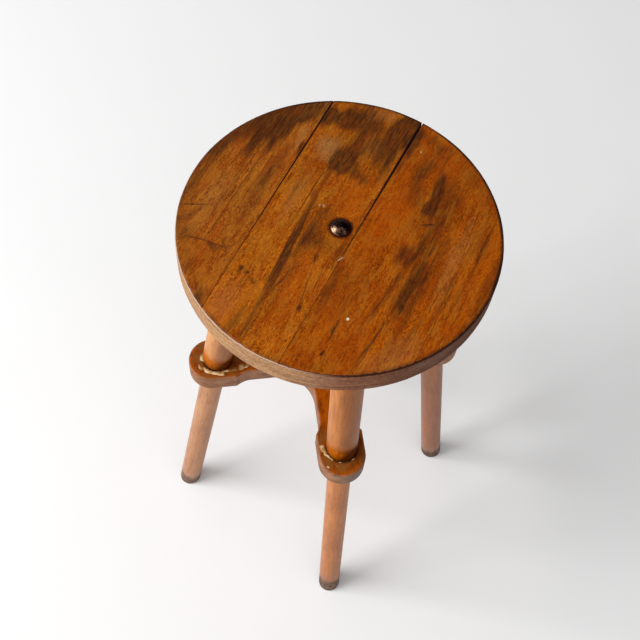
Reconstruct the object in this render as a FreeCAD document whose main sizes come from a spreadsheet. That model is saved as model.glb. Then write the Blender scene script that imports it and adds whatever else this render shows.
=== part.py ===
import FreeCAD, Part
import math
import os
import re
import Sketcher
from FreeCAD import Placement, Rotation, Vector

# Round wooden stool. Four splayed, stepped legs are tied by two halved crosses, and the
# seat turns on a bolt through its centre and the upper cross.
# Millimetres, +Z up. The origin is on the floor, on the bolt's axis. The front leg
# stands towards -Y and the right leg towards +X.

# The driving sizes. Angles are in degrees and counts are plain numbers.
SIZES = {
    # Seat: one disc of three boards, edge-joined and turned together.
    "seat_diameter": 330,
    "seat_thickness": 32,
    "seat_height": 635,
    "seat_top_round": 3,
    "seat_bottom_round": 3,
    "seam_azimuth": 55.5,
    "left_seam_offset": 77.7,
    "right_seam_offset": 15.5,
    # Dowels inside the two seams.
    "dowel_diameter": 8,
    "dowel_length": 40,
    "dowel_end_chamfer": 1,
    "dowel_end_gap": 1,
    "left_dowel_count": 3,
    "left_dowel_span": 190,
    "right_dowel_count": 4,
    "right_dowel_span": 198,
    # Legs, turned in three diameters.
    "foot_circle_radius": 183.5,
    "leg_splay": 7.9,
    "leg_lower_radius": 14.25,
    "leg_upper_radius": 18,
    "leg_foot_round": 2,
    "shoulder_foot_radius": 15.5,
    "shoulder_round_length": 9,
    "tenon_radius": 12.5,
    "wedge_top_width": 2.4,
    "wedge_bottom_width": 0.6,
    "wedge_depth": 18,
    # Lower cross, the foot rest.
    "lower_cross_top": 375,
    "lower_cross_thickness": 26,
    "lower_lobe_radius": 27,
    "lower_lobe_overhang": 5.2,
    "lower_waist_half_width": 21,
    # Shares of an arm's length, from the middle of the cross to the lobe's centre.
    "lower_land_share": 0.2,
    "lower_neck_share": 0.13,
    "lower_web_share": 0.3,
    # Upper cross, under the seat.
    "upper_cross_thickness": 26,
    "upper_lobe_radius": 26,
    "upper_lobe_overhang": 3,
    "upper_waist_half_width": 21,
    "upper_land_share": 0.15,
    "upper_neck_share": 0.13,
    "upper_web_share": 0.32,
    "cross_edge_chamfer": 1.5,
    # Centre bolt with its washers and nuts.
    "bolt_radius": 4.75,
    "bolt_head_radius": 10.5,
    "bolt_head_height": 5,
    "bolt_head_rim": 0.8,
    "bolt_neck_width": 9.5,
    "bolt_neck_depth": 5.5,
    "bolt_tip_chamfer": 1,
    "bolt_tip_beyond_nuts": 5,
    "bearing_washer_radius": 25,
    "bearing_washer_thickness": 2.5,
    "lower_washer_radius": 13,
    "lower_washer_thickness": 2,
    "nut_half_across_flats": 7.15,
    "nut_thickness": 8.4,
    "jam_nut_thickness": 5.6,
    "nut_corner_chamfer": 0.6,
    # Clearances.
    "glue_gap": 0.1,
    "bolt_running_gap": 0.08,
    "washer_gap": 0.4,
    "thread_gap": 0.05,
    "shoulder_recess_gap": 0.3,
    # Every cut runs this far past what it cuts.
    "overrun": 10,
}

# Sizes worked out from the driving ones, in the order that they are needed.
WORKED = {
    "seat_radius": "seat_diameter / 2",
    "seat_bottom": "seat_height - seat_thickness",
    "seat_middle": "seat_height - seat_thickness / 2",
    "dowel_radius": "dowel_diameter / 2",
    "dowel_half_length": "dowel_length / 2",
    "splay_sine": "sin(leg_splay)",
    "splay_cosine": "cos(leg_splay)",
    "splay_tangent": "tan(leg_splay)",
    "upper_cross_top": "seat_bottom - bearing_washer_thickness",
    "upper_cross_bottom": "upper_cross_top - upper_cross_thickness",
    "lower_cross_bottom": "lower_cross_top - lower_cross_thickness",
    # Heights along a leg's own axis, from the floor.
    "lower_shoulder_run": "(lower_cross_top - shoulder_foot_radius * splay_sine) / splay_cosine",
    "upper_shoulder_run": "(upper_cross_bottom + leg_upper_radius * splay_sine) / splay_cosine",
    "tenon_end_run": "(upper_cross_top + tenon_radius * splay_sine) / splay_cosine + overrun",
    "wedge_end_run": "upper_cross_top / splay_cosine",
    "shoulder_round_drop": "leg_upper_radius - shoulder_foot_radius",
    "shoulder_round_radius": "(shoulder_round_length ^ 2 + shoulder_round_drop ^ 2)"
                             " / (2 * shoulder_round_drop)",
    "recess_radius": "leg_upper_radius + shoulder_recess_gap",
    # Where the legs cross the middle of each cross, out from the bolt's axis.
    "lower_lobe_centre": "foot_circle_radius - (lower_cross_top - lower_cross_thickness / 2)"
                         " * splay_tangent + lower_lobe_overhang",
    "upper_lobe_centre": "foot_circle_radius - (upper_cross_top - upper_cross_thickness / 2)"
                         " * splay_tangent + upper_lobe_overhang",
    # The straight land behind each lobe, the neck after it and the web between two arms.
    "lower_land": "lower_lobe_centre * lower_land_share",
    "lower_neck": "lower_lobe_centre * lower_neck_share",
    "lower_web": "lower_lobe_centre * lower_web_share",
    "upper_land": "upper_lobe_centre * upper_land_share",
    "upper_neck": "upper_lobe_centre * upper_neck_share",
    "upper_web": "upper_lobe_centre * upper_web_share",
    # Centre bolt, from the top down.
    "bolt_dome_height": "bolt_head_height - bolt_head_rim",
    "bolt_dome_radius": "(bolt_head_radius ^ 2 + bolt_dome_height ^ 2) / (2 * bolt_dome_height)",
    "lower_washer_bottom": "upper_cross_bottom - lower_washer_thickness",
    "nut_bottom": "lower_washer_bottom - nut_thickness",
    "jam_nut_bottom": "nut_bottom - jam_nut_thickness",
    "bolt_tip": "jam_nut_bottom - bolt_tip_beyond_nuts",
    "bolt_half_neck": "bolt_neck_width / 2",
    "nut_corner_radius": "nut_half_across_flats / cos(30)",
    "nut_chamfer_reach": "nut_corner_radius - nut_half_across_flats + nut_corner_chamfer",
}

LEG_AZIMUTHS = {"leg_front": -90, "leg_right": 0, "leg_back": 90, "leg_left": 180}
UP = Vector(0, 0, 1)
ACROSS = Vector(0, 1, 0)

document = FreeCAD.newDocument("Stool")


# The sheet of driving sizes and the set of worked sizes.
def fill_sheet():
    sheet = document.addObject("Spreadsheet::Sheet", "Sizes")
    for row, (alias, size) in enumerate(SIZES.items(), start=1):
        sheet.set(f"A{row}", alias)
        sheet.set(f"B{row}", str(size))
        sheet.setAlias(f"B{row}", alias)
    document.recompute()
    return sheet


def tied(text):
    """Puts the name of the object that holds it before each size named in an expression."""
    def with_home(match):
        word = match.group()
        if word in SIZES:
            return "Sizes." + word
        if word in WORKED:
            return "Worked." + word
        return word
    return re.sub(r"[a-z][a-z_]*", with_home, text)


def fill_worked():
    worked = document.addObject("App::VarSet", "Worked")
    for name, expression in WORKED.items():
        worked.addProperty("App::PropertyFloat", name, "Worked")
        worked.setExpression(name, tied(expression))
        document.recompute()
    return worked


def value(text):
    """The present value of an expression in named sizes."""
    return float(SHEET.evalExpression(tied(text)))


def bind(target, **expressions):
    """Ties properties of an object to expressions, with __ standing for a dot."""
    for name, expression in expressions.items():
        target.setExpression(name.replace("__", "."), tied(expression))


# Sketches whose every corner is tied to named sizes.
class Outline:
    """One closed loop of lines and arcs, drawn end to end in a sketch."""

    def __init__(self, sketch, x, y):
        self.sketch = sketch
        self.start = (x, y)
        self.corner = (x, y)
        self.pieces = []

    def place(self, corner):
        return Vector(value(corner[0]), value(corner[1]), 0)

    def line_to(self, x, y):
        begin, end = self.place(self.corner), self.place((x, y))
        piece = self.sketch.addGeometry(Part.LineSegment(begin, end), False)
        self.add(piece, 1, 2, (x, y))

    def arc_to(self, x, y, radius, turn):
        """An arc under half a circle, counter-clockwise where turn is 1 and clockwise at -1."""
        begin, end = self.place(self.corner), self.place((x, y))
        chord = end - begin
        half = chord.Length / 2
        rise = math.sqrt(max(value(radius) ** 2 - half ** 2, 0))
        side = Vector(-chord.y, chord.x, 0).normalize() * turn
        centre = begin + chord * 0.5 + side * rise
        circle = Part.Circle(centre, UP, value(radius))
        first, last = (begin, end) if turn > 0 else (end, begin)
        angles = [math.atan2(p.y - centre.y, p.x - centre.x) for p in (first, last)]
        piece = self.sketch.addGeometry(Part.ArcOfCircle(circle, *angles), False)
        ends = (1, 2) if turn > 0 else (2, 1)
        self.add(piece, ends[0], ends[1], (x, y))
        self.size("Radius", (piece,), radius)

    def add(self, piece, begin_point, end_point, corner):
        if self.pieces:
            last_piece, last_end = self.pieces[-1][0], self.pieces[-1][2]
            self.rule("Coincident", last_piece, last_end, piece, begin_point)
        self.pieces.append((piece, begin_point, end_point))
        self.corner = corner
        if corner != self.start:
            self.pin(piece, end_point, corner)

    def close(self):
        first, last = self.pieces[0], self.pieces[-1]
        self.rule("Coincident", last[0], last[2], first[0], first[1])
        self.pin(first[0], first[1], self.start)

    def pin(self, piece, point, corner):
        """Ties a corner's two coordinates, to an axis where the coordinate is nothing."""
        for kind, axis, text in (("DistanceX", -2, corner[0]), ("DistanceY", -1, corner[1])):
            if text == "0":
                self.rule("PointOnObject", piece, point, axis)
            else:
                self.size(kind, (-1, 1, piece, point), text)

    def rule(self, *parts):
        return self.sketch.addConstraint(Sketcher.Constraint(*parts))

    def size(self, kind, parts, text):
        number = self.rule(kind, *parts, value(text))
        self.sketch.setExpression(f"Constraints[{number}]", tied(text))


def polygon(sketch, corners):
    """A closed loop of straight lines."""
    loop = Outline(sketch, *corners[0])
    for corner in corners[1:]:
        loop.line_to(*corner)
    loop.line_to(*corners[0])
    loop.close()


def disc(sketch, radius):
    """A circle round the sketch's origin."""
    circle = sketch.addGeometry(Part.Circle(Vector(), UP, value(radius)), False)
    sketch.addConstraint(Sketcher.Constraint("Coincident", circle, 3, -1, 1))
    number = sketch.addConstraint(Sketcher.Constraint("Radius", circle, value(radius)))
    sketch.setExpression(f"Constraints[{number}]", tied(radius))


def new_body(name):
    body = document.addObject("PartDesign::Body", name)
    body.Label = name
    return body


def origin_feature(body, role):
    return next(feature for feature in body.Origin.OriginFeatures if feature.Role == role)


def new_sketch(body, plane, x="0", y="0", z="0", turn=None, axis=UP):
    """A sketch on one of the body's own planes, moved and turned in that plane's frame."""
    sketch = body.newObject("Sketcher::SketchObject", body.Name + "_sketch")
    sketch.AttachmentSupport = [(origin_feature(body, plane), "")]
    sketch.MapMode = "FlatFace"
    if turn:
        sketch.AttachmentOffset = Placement(Vector(), Rotation(axis, value(turn)))
        bind(sketch, AttachmentOffset__Rotation__Angle=turn)
    bind(sketch, AttachmentOffset__Base__x=x, AttachmentOffset__Base__y=y,
         AttachmentOffset__Base__z=z)
    return sketch


def pad(body, sketch, length, symmetric=False, reverse=False):
    feature = body.newObject("PartDesign::Pad", body.Name + "_pad")
    feature.Profile = sketch
    feature.SideType = "Symmetric" if symmetric else "One side"
    feature.Reversed = reverse
    bind(feature, Length=length)
    document.recompute()
    return feature


def pocket(body, sketch, length=None, symmetric=False, reverse=False):
    """A cut away from the sketch's normal, along it where reversed, through all by default."""
    before = body.Shape.Volume
    feature = body.newObject("PartDesign::Pocket", body.Name + "_pocket")
    feature.Profile = sketch
    feature.SideType = "Symmetric" if symmetric else "One side"
    feature.Reversed = reverse
    if length:
        bind(feature, Length=length)
    else:
        feature.Type = "ThroughAll"
    document.recompute()
    if body.Shape.Volume >= before:
        raise ValueError(f"{feature.Label} cuts nothing")
    return feature


def revolve(body, sketch):
    feature = body.newObject("PartDesign::Revolution", body.Name + "_turning")
    feature.Profile = sketch
    feature.ReferenceAxis = (sketch, ["V_Axis"])
    feature.Angle = 360
    document.recompute()
    return feature


def four_times(body, feature):
    """Repeats a feature at each of the four legs."""
    pattern = body.newObject("PartDesign::PolarPattern", body.Name + "_four")
    pattern.Originals = [feature]
    pattern.Axis = (origin_feature(body, "Z_Axis"), [""])
    pattern.Angle = 360
    pattern.Occurrences = len(LEG_AZIMUTHS)
    body.Tip = pattern
    document.recompute()
    return pattern


def in_row(body, feature, span, count):
    """Repeats a feature along the body's own X axis."""
    pattern = body.newObject("PartDesign::LinearPattern", body.Name + "_row")
    pattern.Originals = [feature]
    pattern.Direction = (origin_feature(body, "X_Axis"), [""])
    bind(pattern, Length=span, Occurrences=count)
    body.Tip = pattern
    document.recompute()
    return pattern


def edges_at(body, *heights):
    """The body's last feature and the names of its edges that lie level at the heights."""
    levels = [value(height) for height in heights]
    names = [f"Edge{number}" for number, edge in enumerate(body.Tip.Shape.Edges, start=1)
             if any(lies_at(edge, level) for level in levels)]
    return body.Tip, names


def round_edges(body, height, radius):
    base = edges_at(body, height)
    feature = body.newObject("PartDesign::Fillet", body.Name + "_round")
    feature.Base = base
    bind(feature, Radius=radius)
    document.recompute()


def chamfer_edges(body, heights, size):
    base = edges_at(body, *heights)
    feature = body.newObject("PartDesign::Chamfer", body.Name + "_chamfer")
    feature.Base = base
    bind(feature, Size=size)
    document.recompute()


def lies_at(edge, height):
    """Whether a whole edge lies in the level plane at a height."""
    box = edge.BoundBox
    near = 1e-4 * value("overrun")
    return abs(box.ZMin - height) < near and abs(box.ZMax - height) < near


# Legs.
def leg_sketch(body):
    """A sketch in the upright plane through a leg's axis, with its own V axis up the leg."""
    return new_sketch(body, "XZ_Plane", x="foot_circle_radius", turn="leg_splay")


def make_leg(name, azimuth):
    body = new_body(name)
    sketch = leg_sketch(body)
    profile = Outline(sketch, "0", "-leg_lower_radius")
    profile.line_to("leg_lower_radius", "-leg_lower_radius")
    profile.line_to("leg_lower_radius", "lower_shoulder_run")
    profile.line_to("shoulder_foot_radius", "lower_shoulder_run")
    profile.arc_to("leg_upper_radius", "lower_shoulder_run + shoulder_round_length",
                   "shoulder_round_radius", 1)
    profile.line_to("leg_upper_radius", "upper_shoulder_run")
    profile.line_to("tenon_radius", "upper_shoulder_run")
    profile.line_to("tenon_radius", "tenon_end_run")
    profile.line_to("0", "tenon_end_run")
    profile.line_to("0", "-leg_lower_radius")
    profile.close()
    revolve(body, sketch)
    # The saw cut that the wedge is driven into.
    kerf = leg_sketch(body)
    wedge_outline(kerf, "tenon_end_run")
    pocket(body, kerf, "leg_upper_radius * 2", symmetric=True)
    # The tenon is cut flush with the upper cross, and the foot level with the floor.
    trim_above(body, "upper_cross_top")
    floor = new_sketch(body, "XY_Plane")
    disc(floor, "foot_circle_radius + leg_upper_radius + overrun")
    pocket(body, floor)
    round_edges(body, "0", "leg_foot_round")
    body.Placement = Placement(Vector(), Rotation(UP, azimuth))
    return body


def trim_above(body, height):
    sketch = new_sketch(body, "XY_Plane", z=height)
    disc(sketch, "foot_circle_radius")
    pocket(body, sketch, reverse=True)


def wedge_outline(sketch, top):
    """The wedge's taper, carried on up at the same slope to a height along the leg."""
    slope = "(wedge_top_width - wedge_bottom_width) / 2 / wedge_depth"
    half_top = f"wedge_top_width / 2 + ({top} - wedge_end_run) * {slope}"
    half_bottom = "wedge_bottom_width / 2"
    polygon(sketch, [
        (half_bottom, "wedge_end_run - wedge_depth"),
        (half_top, top),
        (f"-({half_top})", top),
        (f"-({half_bottom})", "wedge_end_run - wedge_depth"),
    ])


def make_wedges():
    body = new_body("leg_wedges")
    sketch = leg_sketch(body)
    wedge_outline(sketch, "tenon_end_run")
    wedge = pad(body, sketch, "tenon_radius * 2 - glue_gap * 2", symmetric=True)
    four_times(body, wedge)
    trim_above(body, "upper_cross_top")
    return body


# Crosses. Each is two rails halved together, then bored and shaped as one.
def arm_outline(sketch, part):
    """A quarter of the cross: one arm, out from the two diagonals, with its rounded lobe."""
    waist = f"{part}_waist_half_width"
    web = f"{part}_web"
    lobe = f"{part}_lobe_radius"
    web_start = f"{waist} + {web}"
    web_middle = f"{waist} + {web} - {web} * cos(45)"
    corner = f"{part}_lobe_centre - {part}_land"
    neck = f"{corner} - {part}_neck"
    step = f"({lobe} - {waist})"
    neck_radius = f"({part}_neck ^ 2 + {step} ^ 2) / (2 * {step})"
    centre = f"{part}_lobe_centre"
    loop = Outline(sketch, "0", "0")
    loop.line_to(web_middle, f"-({web_middle})")
    loop.arc_to(web_start, f"-({waist})", web, -1)
    loop.line_to(neck, f"-({waist})")
    loop.arc_to(corner, f"-({lobe})", neck_radius, -1)
    loop.line_to(centre, f"-({lobe})")
    loop.arc_to(f"{centre} + {lobe}", "0", lobe, 1)
    loop.arc_to(centre, lobe, lobe, 1)
    loop.line_to(corner, lobe)
    loop.arc_to(neck, waist, neck_radius, -1)
    loop.line_to(web_start, waist)
    loop.arc_to(web_middle, web_middle, web, -1)
    loop.line_to("0", "0")
    loop.close()


def across_leg(body, run):
    """A sketch square to a leg's axis, at a height along it."""
    return new_sketch(body, "XY_Plane", x=f"foot_circle_radius - ({run}) * splay_sine",
                      z=f"({run}) * splay_cosine", turn="-leg_splay", axis=ACROSS)


def cross_blank(part, bore, shoulder_run, shoulder_above):
    """The whole cross with its angled leg bores, before it is parted into rails."""
    body = new_body(f"{part}_cross_blank")
    bottom, top = f"{part}_cross_bottom", f"{part}_cross_top"
    sketch = new_sketch(body, "XY_Plane", z=bottom)
    arm_outline(sketch, part)
    arm = pad(body, sketch, f"{part}_cross_thickness")
    four_times(body, arm)
    chamfer_edges(body, (bottom, top), "cross_edge_chamfer")
    through = across_leg(body, f"{top} / splay_cosine + leg_upper_radius")
    disc(through, bore)
    four_times(body, pocket(body, through))
    # A flat seat for the leg's shoulder, square to the leg.
    recess = across_leg(body, shoulder_run)
    disc(recess, "recess_radius")
    four_times(body, pocket(body, recess, reverse=shoulder_above))
    return body


def rail_region(name, part, upper_half):
    """The space of one rail: its two arms, and half the thickness where the rails cross."""
    half_lap = f"({part}_waist_half_width + {part}_web * (1 - cos(45)))"
    reach = f"({part}_lobe_centre + {part}_lobe_radius + overrun)"
    whole = document.addObject("Part::Box", name + "_whole")
    bind(whole, Length=f"{half_lap} * 2", Width=f"{reach} * 2",
         Height=f"{part}_cross_thickness + overrun * 2", Placement__Base__x=f"-{half_lap}",
         Placement__Base__y=f"-{reach}", Placement__Base__z=f"{part}_cross_bottom - overrun")
    notch = document.addObject("Part::Box", name + "_notch")
    start = f"{part}_cross_bottom - overrun * 2"
    if not upper_half:
        start = f"{part}_cross_bottom + {part}_cross_thickness / 2"
    depth = f"{part}_cross_thickness / 2 + overrun * 2"
    bind(notch, Length=f"{half_lap} * 2", Width=f"{half_lap} * 2", Height=depth,
         Placement__Base__x=f"-{half_lap}", Placement__Base__y=f"-{half_lap}",
         Placement__Base__z=start)
    region = document.addObject("Part::Cut", name + "_region")
    region.Base = whole
    region.Tool = notch
    if not upper_half:
        region.Placement = Placement(Vector(), Rotation(UP, 90))
    return region


def make_rail(name, blank, part, upper_half):
    rail = document.addObject("Part::Common", name)
    rail.Label = name
    rail.Base = blank
    rail.Tool = rail_region(name, part, upper_half)
    document.recompute()
    return rail


def make_rails(part, blank):
    """The front-to-back rail crosses over the left-to-right one."""
    return [make_rail(f"{part}_cross_rail_front_back", blank, part, True),
            make_rail(f"{part}_cross_rail_left_right", blank, part, False)]


def make_lower_cross():
    blank = cross_blank("lower", "leg_lower_radius + glue_gap", "lower_shoulder_run", True)
    return make_rails("lower", blank)


def make_upper_cross():
    blank = cross_blank("upper", "tenon_radius + glue_gap", "upper_shoulder_run", False)
    sketch = new_sketch(blank, "XY_Plane", z="upper_cross_top")
    disc(sketch, "bolt_radius + bolt_running_gap")
    pocket(blank, sketch)
    return make_rails("upper", blank)


# Seat. In its bodies X runs along the seams and +Y points to the left seam.
def seat_body(name):
    body = new_body(name)
    body.Placement = Placement(Vector(), Rotation(UP, value("seam_azimuth")))
    bind(body, Placement__Rotation__Angle="seam_azimuth")
    return body


def turned_disc(body):
    """The whole round of the seat, with its rounded top and bottom arrises."""
    sketch = new_sketch(body, "XZ_Plane")
    profile = Outline(sketch, "0", "seat_bottom")
    profile.line_to("seat_radius - seat_bottom_round", "seat_bottom")
    profile.arc_to("seat_radius", "seat_bottom + seat_bottom_round", "seat_bottom_round", 1)
    profile.line_to("seat_radius", "seat_height - seat_top_round")
    profile.arc_to("seat_radius - seat_top_round", "seat_height", "seat_top_round", 1)
    profile.line_to("0", "seat_height")
    profile.line_to("0", "seat_bottom")
    profile.close()
    revolve(body, sketch)


def saw_off(body, seam, outward):
    """Takes away what lies beyond a seam, towards +Y where outward is 1 and -Y at -1."""
    sketch = new_sketch(body, "XY_Plane", z="seat_height")
    far = "seat_diameter" if outward > 0 else "-seat_diameter"
    polygon(sketch, [("-seat_diameter", seam), ("seat_diameter", seam),
                     ("seat_diameter", far), ("-seat_diameter", far)])
    pocket(body, sketch)


def bore_for_dowels(body, seam, side):
    sketch = new_sketch(body, "XZ_Plane", x=f"-{side}_dowel_span / 2", y="seat_middle",
                        z=f"-({seam})")
    disc(sketch, "dowel_radius + glue_gap")
    hole = pocket(body, sketch, "dowel_length + dowel_end_gap * 2", symmetric=True)
    in_row(body, hole, f"{side}_dowel_span", f"{side}_dowel_count")


LEFT_SEAM = "left_seam_offset"
RIGHT_SEAM = "-right_seam_offset"


def make_left_board():
    body = seat_body("seat_board_left")
    turned_disc(body)
    saw_off(body, LEFT_SEAM, -1)
    bore_for_dowels(body, LEFT_SEAM, "left")
    return body


def make_middle_board():
    body = seat_body("seat_board_middle")
    turned_disc(body)
    saw_off(body, LEFT_SEAM, 1)
    saw_off(body, RIGHT_SEAM, -1)
    bore_for_dowels(body, LEFT_SEAM, "left")
    bore_for_dowels(body, RIGHT_SEAM, "right")
    hole = new_sketch(body, "XY_Plane", z="seat_height")
    disc(hole, "bolt_radius + washer_gap")
    pocket(body, hole)
    square = new_sketch(body, "XY_Plane", z="seat_height")
    neck_outline(square)
    pocket(body, square, "bolt_neck_depth")
    return body


def make_right_board():
    body = seat_body("seat_board_right")
    turned_disc(body)
    saw_off(body, RIGHT_SEAM, 1)
    bore_for_dowels(body, RIGHT_SEAM, "right")
    return body


def make_dowels(side, seam):
    """The dowels of one seam, each half in either board."""
    body = seat_body(f"seam_dowels_{side}")
    sketch = new_sketch(body, "XY_Plane", x=f"-{side}_dowel_span / 2", y=seam, z="seat_middle")
    chamfered = "dowel_radius - dowel_end_chamfer"
    shoulder = "dowel_half_length - dowel_end_chamfer"
    polygon(sketch, [
        ("0", "-dowel_half_length"),
        (chamfered, "-dowel_half_length"),
        ("dowel_radius", f"-({shoulder})"),
        ("dowel_radius", shoulder),
        (chamfered, "dowel_half_length"),
        ("0", "dowel_half_length"),
    ])
    in_row(body, revolve(body, sketch), f"{side}_dowel_span", f"{side}_dowel_count")
    return body


# Centre bolt, washers and nuts.
def neck_outline(sketch):
    polygon(sketch, [("-bolt_half_neck", "-bolt_half_neck"), ("bolt_half_neck", "-bolt_half_neck"),
                     ("bolt_half_neck", "bolt_half_neck"), ("-bolt_half_neck", "bolt_half_neck")])


def make_bolt():
    """A domed carriage bolt, whose square neck holds it in the seat."""
    body = seat_body("centre_bolt")
    sketch = new_sketch(body, "XZ_Plane")
    profile = Outline(sketch, "0", "bolt_tip")
    profile.line_to("bolt_radius - bolt_tip_chamfer", "bolt_tip")
    profile.line_to("bolt_radius", "bolt_tip + bolt_tip_chamfer")
    profile.line_to("bolt_radius", "seat_height")
    profile.line_to("bolt_head_radius", "seat_height")
    profile.line_to("bolt_head_radius", "seat_height + bolt_head_rim")
    profile.arc_to("0", "seat_height + bolt_head_height", "bolt_dome_radius", 1)
    profile.line_to("0", "bolt_tip")
    profile.close()
    revolve(body, sketch)
    square = new_sketch(body, "XY_Plane", z="seat_height")
    neck_outline(square)
    pad(body, square, "bolt_neck_depth", reverse=True)
    return body


def make_washer(name, bottom, thickness, outer, inner):
    body = new_body(name)
    sketch = new_sketch(body, "XY_Plane", z=bottom)
    disc(sketch, outer)
    disc(sketch, inner)
    pad(body, sketch, thickness)
    return body


def make_nut(name, bottom, thickness):
    """A hexagon nut with its corners turned off at both ends."""
    body = seat_body(name)
    sketch = new_sketch(body, "XZ_Plane", y=bottom)
    bore = "bolt_radius + thread_gap"
    turned = "nut_corner_radius - nut_chamfer_reach"
    slope = "nut_chamfer_reach * tan(30)"
    polygon(sketch, [
        (bore, "0"),
        (turned, "0"),
        ("nut_corner_radius", slope),
        ("nut_corner_radius", f"{thickness} - {slope}"),
        (turned, thickness),
        (bore, thickness),
    ])
    revolve(body, sketch)
    flats = new_sketch(body, "XY_Plane", z=bottom)
    polygon(flats, hexagon_corners())
    disc(flats, "nut_corner_radius * 2")
    pocket(body, flats, reverse=True)
    return body


def hexagon_corners():
    half, whole = "nut_corner_radius * cos(60)", "nut_corner_radius"
    flat = "nut_half_across_flats"
    return [(whole, "0"), (half, flat), (f"-({half})", flat),
            (f"-{whole}", "0"), (f"-({half})", f"-{flat}"), (half, f"-{flat}")]


def make_all():
    parts = [make_leg(name, azimuth) for name, azimuth in LEG_AZIMUTHS.items()]
    parts.append(make_wedges())
    parts.extend(make_lower_cross())
    parts.extend(make_upper_cross())
    parts.append(make_washer("bearing_washer", "upper_cross_top", "bearing_washer_thickness",
                             "bearing_washer_radius", "bolt_radius + washer_gap"))
    parts.append(make_left_board())
    parts.append(make_middle_board())
    parts.append(make_right_board())
    parts.append(make_dowels("left", LEFT_SEAM))
    parts.append(make_dowels("right", RIGHT_SEAM))
    parts.append(make_bolt())
    parts.append(make_washer("lower_washer", "lower_washer_bottom", "lower_washer_thickness",
                             "lower_washer_radius", "bolt_radius + thread_gap"))
    parts.append(make_nut("lower_nut", "nut_bottom", "nut_thickness"))
    parts.append(make_nut("jam_nut", "jam_nut_bottom", "jam_nut_thickness"))
    return parts


def check(parts):
    """Stops before anything is written if an object failed or a solid isn't sound."""
    document.recompute()
    for thing in document.Objects:
        if "Invalid" in thing.State or "Error" in thing.State:
            raise ValueError(f"{thing.Label} failed: {thing.State}")
    for part in parts:
        if part.Shape.isNull() or not part.Shape.isValid() or not part.Shape.Solids:
            raise ValueError(f"{part.Label} is not a sound solid")


def write(parts):
    os.makedirs("parts", exist_ok=True)
    for part in parts:
        part.Shape.exportStep(f"parts/{part.Label}.step")
        box = part.Shape.BoundBox
        print(f"{part.Label}: {len(part.Shape.Solids)} solids, {part.Shape.Volume:.0f} mm3, "
              f"z {box.ZMin:.1f} to {box.ZMax:.1f}")


SHEET = fill_sheet()
fill_worked()
PARTS = make_all()
check(PARTS)
write(PARTS)
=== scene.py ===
import math
from collections import namedtuple

import bmesh
import bpy
from mathutils import Matrix, Vector, noise


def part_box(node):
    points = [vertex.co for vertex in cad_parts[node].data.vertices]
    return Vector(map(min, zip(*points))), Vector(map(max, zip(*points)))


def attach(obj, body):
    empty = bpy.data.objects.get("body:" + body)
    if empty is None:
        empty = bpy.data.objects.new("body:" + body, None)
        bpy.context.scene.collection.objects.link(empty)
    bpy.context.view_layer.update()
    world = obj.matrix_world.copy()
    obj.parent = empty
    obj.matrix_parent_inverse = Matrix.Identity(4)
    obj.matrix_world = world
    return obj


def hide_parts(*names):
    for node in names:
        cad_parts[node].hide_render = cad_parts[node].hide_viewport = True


# Round wooden stool: the worn boards, the dinged bolt and the squeezed-out glue that stand
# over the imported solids, and a finish for every piece. Lengths are in millimetres and are
# turned into metres where a mesh or a place is made. Angles are in degrees.
# Colours are written as they look on a screen, from 0 to 255.

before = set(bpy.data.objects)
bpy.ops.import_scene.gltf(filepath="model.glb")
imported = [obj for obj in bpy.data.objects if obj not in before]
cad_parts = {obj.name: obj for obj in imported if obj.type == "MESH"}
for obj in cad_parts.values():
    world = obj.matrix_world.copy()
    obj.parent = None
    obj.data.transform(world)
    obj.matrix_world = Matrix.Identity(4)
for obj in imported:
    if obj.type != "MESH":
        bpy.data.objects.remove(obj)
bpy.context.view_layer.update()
MM = 0.001


def box_of(node):
    """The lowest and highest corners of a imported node."""
    return tuple(Vector(corner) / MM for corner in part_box(node))


SEAT_LOW, SEAT_HIGH = (corner.z for corner in box_of("seat_board_right"))
SEAT_RADIUS = box_of("seat_board_right")[1].x
SEAM_AZIMUTH = 55.5
SEAT_TOP_ROUND = 3
SEAT_BOTTOM_ROUND = 3

LEG_AZIMUTHS = {"leg_front": -90, "leg_right": 0, "leg_back": 90, "leg_left": 180}
LEG_SPLAY = 7.9
FOOT_CIRCLE_RADIUS = 183.5
LOWER_CROSS_TOP = box_of("lower_cross_rail_front_back")[1].z
UPPER_CROSS_TOP = box_of("upper_cross_rail_front_back")[1].z
LOBE_RADIUS = 27
LOBE_CENTRE = box_of("lower_cross_rail_left_right")[1].x - LOBE_RADIUS
WAIST_HALF_WIDTH = 21
UP = (0, 0, 1)


def unit(azimuth):
    """The level direction at an azimuth."""
    turn = math.radians(azimuth)
    return math.cos(turn), math.sin(turn), 0


def leg_reach(height):
    """How far out from the bolt's axis a leg's own axis lies at a height."""
    return FOOT_CIRCLE_RADIUS - height * math.tan(math.radians(LEG_SPLAY))


# Camera, as fitted to the photograph. Its place is in metres.
SENSOR_WIDTH = 36
LENS = 60.57
CAMERA_PLACE = (-0.1472, -0.5861, 1.5299)
CAMERA_TURN = (28.915, -2.945, -7.770)


def make_camera():
    data = bpy.data.cameras.new("camera")
    data.sensor_width = SENSOR_WIDTH
    data.lens = LENS
    camera = bpy.data.objects.new("camera", data)
    camera.location = CAMERA_PLACE
    camera.rotation_euler = [math.radians(angle) for angle in CAMERA_TURN]
    bpy.context.collection.objects.link(camera)
    bpy.context.scene.camera = camera
    bpy.context.scene.view_settings.view_transform = "Standard"


# Two windows on the left, each with its azimuth and elevation, in a pale room that is darker
# overhead and away from them. Their distance and size are in metres.
WINDOWS = {"rear_window": (170, 40), "front_window": (191, 38)}
WINDOW_DISTANCE = 4
WINDOW_WIDTH, WINDOW_HEIGHT = 1.2, 1.5
WINDOW_POWER = 58


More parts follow.
